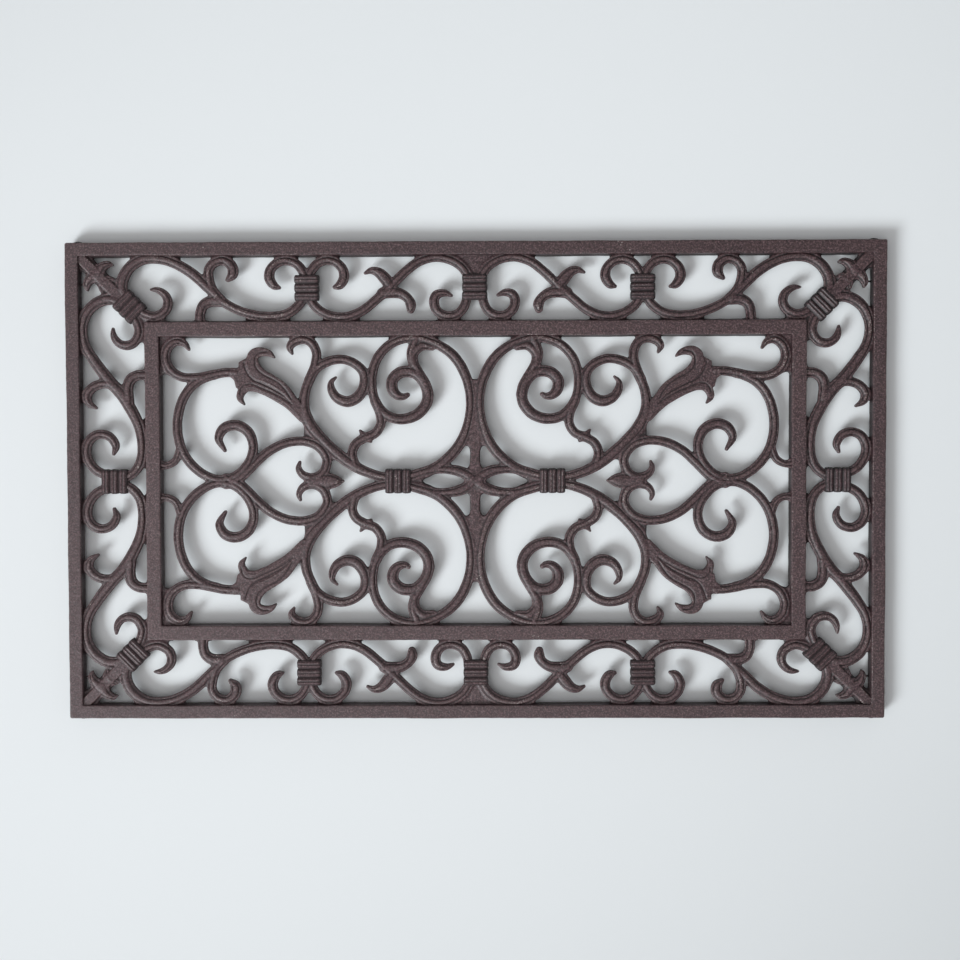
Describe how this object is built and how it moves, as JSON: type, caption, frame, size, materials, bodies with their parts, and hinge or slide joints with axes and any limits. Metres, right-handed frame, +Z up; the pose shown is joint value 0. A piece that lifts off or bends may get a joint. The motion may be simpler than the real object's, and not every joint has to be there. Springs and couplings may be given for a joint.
{
  "type": "cast iron door mat",
  "caption": "Rectangular openwork cast iron scraper mat with scrollwork between two frames, standing on rubber feet.",
  "frame": {"origin": "on the floor, under the middle of the mat", "axes": "+X along the long side of the mat, +Y across it from its front edge to its back edge, +Z up"},
  "size_m": [0.721, 0.424, 0.0148],
  "materials": {
    "painted_iron": "sand-cast iron under a matt dark brown paint, finely grained, a little rubbed on its ridges",
    "black_rubber": "matt black moulded rubber"
  },
  "bodies": {
    "root": {"scrollwork_casting": "painted_iron", "foot_back_right": "black_rubber", "foot_back_left": "black_rubber", "foot_front_left": "black_rubber", "foot_front_right": "black_rubber"}
  },
  "joints": []
}
